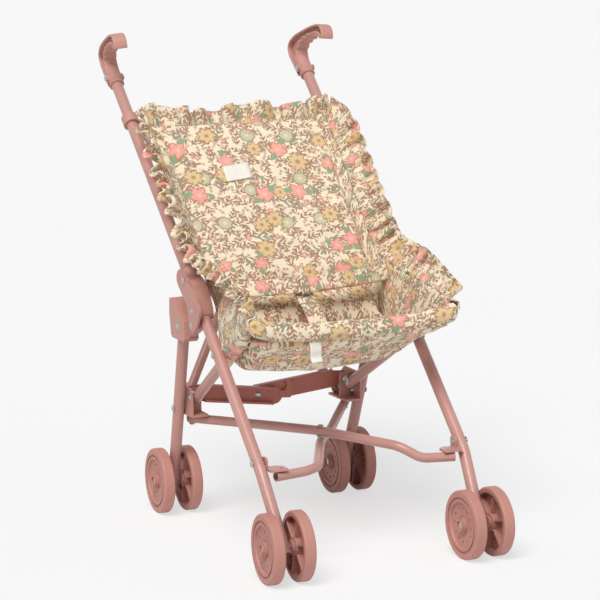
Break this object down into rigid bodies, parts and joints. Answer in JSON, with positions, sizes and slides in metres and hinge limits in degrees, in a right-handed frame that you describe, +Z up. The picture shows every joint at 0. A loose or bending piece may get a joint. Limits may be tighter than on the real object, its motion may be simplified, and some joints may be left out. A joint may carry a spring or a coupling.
{
  "type": "doll stroller",
  "caption": "Folding doll stroller with a pink tube frame, hook handles, twin wheels and a ruffled floral fabric seat.",
  "frame": {"origin": "on the floor, in the middle of the width and of the whole depth", "axes": "+Z up, -Y to the front, +X to the right as seen from the front"},
  "size_m": [0.2778, 0.5718, 0.5508],
  "materials": {
    "frame_paint": "powder coat, satin",
    "moulding": "moulded, satin",
    "steel": "plain rivets",
    "cloth": "printed cotton, floral",
    "label": "woven tape"
  },
  "bodies": {
    "left_side": {"handle_left": "moulding", "push_tube_left": "frame_paint", "elbow_collar_left": "moulding", "elbow_link_left": "frame_paint", "leg_socket_left": "moulding", "front_leg_left": "frame_paint", "rear_leg_left": "frame_paint", "rear_bracket_left": "moulding", "front_strap_left": "frame_paint", "seat_rail_left": "frame_paint", "side_rivets_left": "steel", "front_axle_left": "steel", "rear_axle_left": "steel", "backrest": "cloth", "seat_pad": "cloth", "side_wing_left": "cloth", "side_wing_right": "cloth", "ruffle_left": "cloth", "ruffle_right": "cloth", "ruffle_top": "cloth", "lap_belt": "cloth", "crotch_strap": "cloth", "woven_label": "label", "care_label": "label"},
    "right_side": {"handle_right": "moulding", "push_tube_right": "frame_paint", "elbow_collar_right": "moulding", "elbow_link_right": "frame_paint", "leg_socket_right": "moulding", "front_leg_right": "frame_paint", "rear_leg_right": "frame_paint", "rear_bracket_right": "moulding", "front_strap_right": "frame_paint", "seat_rail_right": "frame_paint", "side_rivets_right": "steel", "front_axle_right": "steel", "rear_axle_right": "steel"},
    "brace_left": {"back_brace_left": "frame_paint"},
    "ring_left": {"brace_ring_left": "moulding"},
    "lower_left": {"lower_tube_left": "frame_paint", "lower_rivet": "steel"},
    "brace_right": {"back_brace_right": "frame_paint"},
    "ring_right": {"brace_ring_right": "moulding"},
    "lower_right": {"lower_tube_right": "frame_paint"},
    "lock_left": {"lock_bar_left": "frame_paint", "lock_rivet_front": "steel"},
    "lock_right": {"lock_bar_right": "frame_paint", "lock_rivet_back": "steel"},
    "front_outer_wheel_body_left": {"front_outer_wheel_left": "moulding"},
    "front_inner_wheel_body_left": {"front_inner_wheel_left": "moulding"},
    "rear_outer_wheel_body_left": {"rear_outer_wheel_left": "moulding"},
    "rear_inner_wheel_body_left": {"rear_inner_wheel_left": "moulding"},
    "front_outer_wheel_body_right": {"front_outer_wheel_right": "moulding"},
    "front_inner_wheel_body_right": {"front_inner_wheel_right": "moulding"},
    "rear_outer_wheel_body_right": {"rear_outer_wheel_right": "moulding"},
    "rear_inner_wheel_body_right": {"rear_inner_wheel_right": "moulding"}
  },
  "joints": [
    {"name": "fold_width", "type": "slide", "parent": "left_side", "child": "right_side", "axis": [-1, 0, 0], "range_m": [0, 0.09], "deforming": ["backrest", "seat_pad", "side_wing_left", "side_wing_right", "ruffle_left", "ruffle_right", "ruffle_top", "lap_belt", "crotch_strap", "woven_label", "care_label"]},
    {"name": "brace_turn_left", "type": "hinge", "parent": "left_side", "child": "brace_left", "pos_m": [-0.096, 0.0875, 0.128], "axis": [-0.1676, -0.8731, 0.4578], "range_deg": [0, 15.08]},
    {"name": "ring_slide_left", "type": "slide", "parent": "left_side", "child": "ring_left", "axis": [-0.0063, 0.753, 0.658], "range_m": [0, 0.04235]},
    {"name": "lower_turn_left", "type": "hinge", "parent": "left_side", "child": "lower_left", "pos_m": [-0.095, 0.0675, 0.114], "axis": [0, 0, -1], "range_deg": [0, 17.35]},
    {"name": "brace_turn_right", "type": "hinge", "parent": "right_side", "child": "brace_right", "pos_m": [0.096, 0.0875, 0.128], "axis": [-0.1676, 0.8731, -0.4578], "range_deg": [0, 15.08]},
    {"name": "ring_slide_right", "type": "slide", "parent": "right_side", "child": "ring_right", "axis": [0.0063, 0.753, 0.658], "range_m": [0, 0.04235]},
    {"name": "lower_turn_right", "type": "hinge", "parent": "right_side", "child": "lower_right", "pos_m": [0.095, 0.0675, 0.114], "axis": [0, 0, 1], "range_deg": [0, 17.35]},
    {"name": "lock_turn_left", "type": "hinge", "parent": "left_side", "child": "lock_left", "pos_m": [-0.094, 0.0733, 0.143], "axis": [0, -1, 0], "range_deg": [0, 79.34]},
    {"name": "lock_turn_right", "type": "hinge", "parent": "right_side", "child": "lock_right", "pos_m": [0.094, 0.0733, 0.143], "axis": [0, 1, 0], "range_deg": [0, 53.41]},
    {"name": "front_outer_roll_left", "type": "hinge", "parent": "left_side", "child": "front_outer_wheel_body_left", "pos_m": [-0.13019, -0.24692, 0.0375], "axis": [-0.9994, 0.0349, 0], "continuous": true},
    {"name": "front_inner_roll_left", "type": "hinge", "parent": "left_side", "child": "front_inner_wheel_body_left", "pos_m": [-0.09681, -0.24808, 0.0375], "axis": [-0.9994, 0.0349, 0], "continuous": true},
    {"name": "rear_outer_roll_left", "type": "hinge", "parent": "left_side", "child": "rear_outer_wheel_body_left", "pos_m": [-0.1252, 0.09776, 0.0375], "axis": [-0.9999, 0.0157, 0], "continuous": true},
    {"name": "rear_inner_roll_left", "type": "hinge", "parent": "left_side", "child": "rear_inner_wheel_body_left", "pos_m": [-0.0918, 0.09724, 0.0375], "axis": [-0.9999, 0.0157, 0], "continuous": true},
    {"name": "front_outer_roll_right", "type": "hinge", "parent": "right_side", "child": "front_outer_wheel_body_right", "pos_m": [0.13019, -0.24692, 0.0375], "axis": [0.9994, 0.0349, 0], "continuous": true},
    {"name": "front_inner_roll_right", "type": "hinge", "parent": "right_side", "child": "front_inner_wheel_body_right", "pos_m": [0.09681, -0.24808, 0.0375], "axis": [0.9994, 0.0349, 0], "continuous": true},
    {"name": "rear_outer_roll_right", "type": "hinge", "parent": "right_side", "child": "rear_outer_wheel_body_right", "pos_m": [0.1252, 0.09776, 0.0375], "axis": [0.9999, 0.0157, 0], "continuous": true},
    {"name": "rear_inner_roll_right", "type": "hinge", "parent": "right_side", "child": "rear_inner_wheel_body_right", "pos_m": [0.0918, 0.09724, 0.0375], "axis": [0.9999, 0.0157, 0], "continuous": true}
  ],
  "couplings": [
    {"joint": "brace_turn_left", "follows": "fold_width", "rad_per_m": 2.9253},
    {"joint": "ring_slide_left", "follows": "fold_width", "ratio": 0.47052},
    {"joint": "lower_turn_left", "follows": "fold_width", "rad_per_m": 3.3637},
    {"joint": "brace_turn_right", "follows": "fold_width", "rad_per_m": 2.9253},
    {"joint": "ring_slide_right", "follows": "fold_width", "ratio": 0.47052},
    {"joint": "lower_turn_right", "follows": "fold_width", "rad_per_m": 3.3637},
    {"joint": "lock_turn_left", "follows": "fold_width", "rad_per_m": 15.386},
    {"joint": "lock_turn_right", "follows": "fold_width", "rad_per_m": 10.357}
  ]
}
